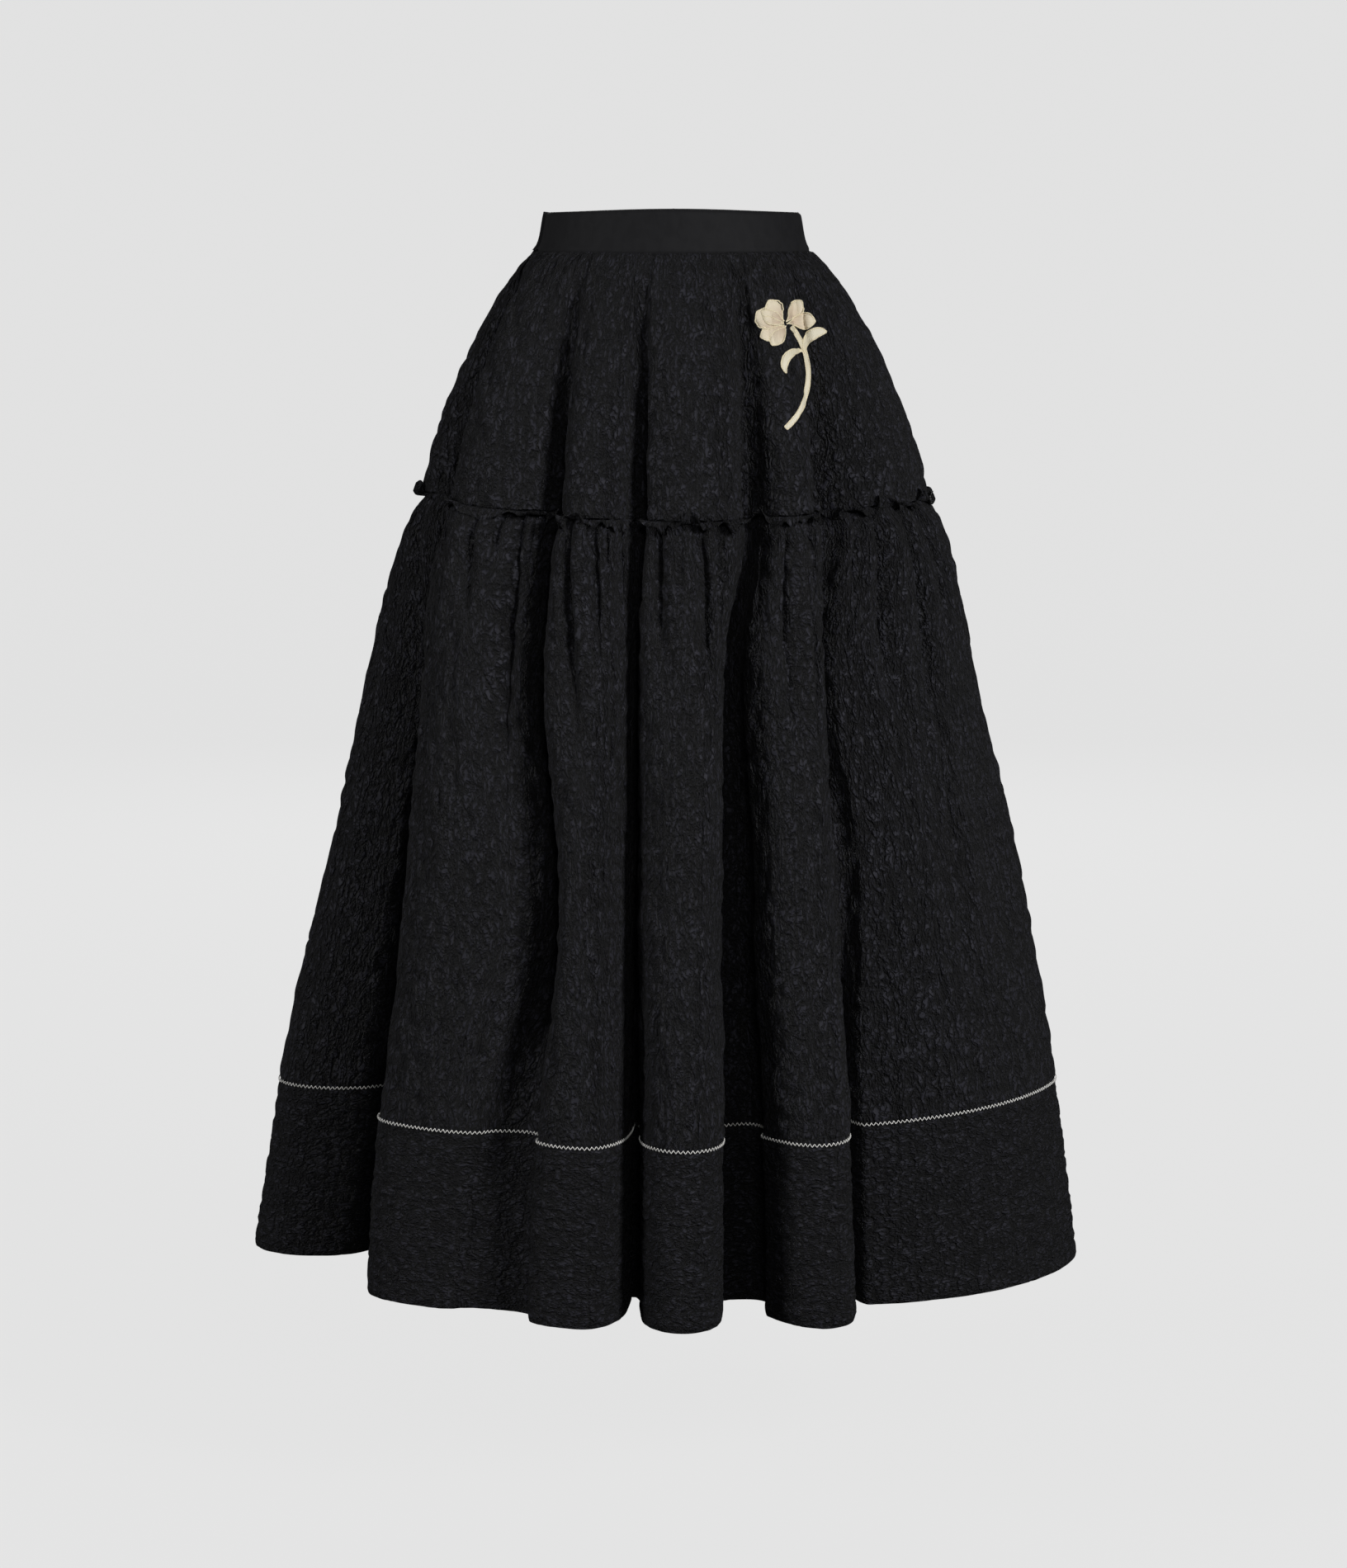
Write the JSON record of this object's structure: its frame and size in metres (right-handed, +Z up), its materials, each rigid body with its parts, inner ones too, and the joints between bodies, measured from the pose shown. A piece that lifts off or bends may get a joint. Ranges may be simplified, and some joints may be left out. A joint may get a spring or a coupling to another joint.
{
  "type": "embroidered tiered skirt",
  "caption": "Full tiered midi skirt of black puckered cloth with a fitted waistband, gathered lower tier, frilled seam, wide hem band and an embroidered flower on one hip.",
  "frame": {"origin": "middle of the waist opening, halfway up the waistband, where the wearer's waist holds the skirt", "axes": "+Z up, out of the waist opening; the front with the flower faces -Y; +X is towards the wearer's left"},
  "size_m": [0.6978, 0.5894, 0.8777],
  "materials": {
    "puckered_cloth": "near-black cotton-blend cloque, matt, blistered all over with small upright puckers",
    "waistband_cloth": "near-black smooth faille, matt with a faint sheen",
    "embroidery_thread": "cream and pale gold satin stitch with a soft silky sheen"
  },
  "bodies": {
    "root": {"waistband_front": "waistband_cloth", "waistband_back_right": "waistband_cloth", "waistband_back_left": "waistband_cloth", "upper_tier_front": "puckered_cloth", "upper_tier_back_right": "puckered_cloth", "upper_tier_back_left": "puckered_cloth", "gathered_tier_front": "puckered_cloth", "gathered_tier_back": "puckered_cloth", "hem_band_front": "puckered_cloth", "hem_band_back": "puckered_cloth", "seam_frill_front": "puckered_cloth", "seam_frill_back": "puckered_cloth", "flower_head": "embroidery_thread", "flower_stem": "embroidery_thread", "flower_leaf_left": "embroidery_thread", "flower_leaf_right": "embroidery_thread"}
  },
  "joints": []
}
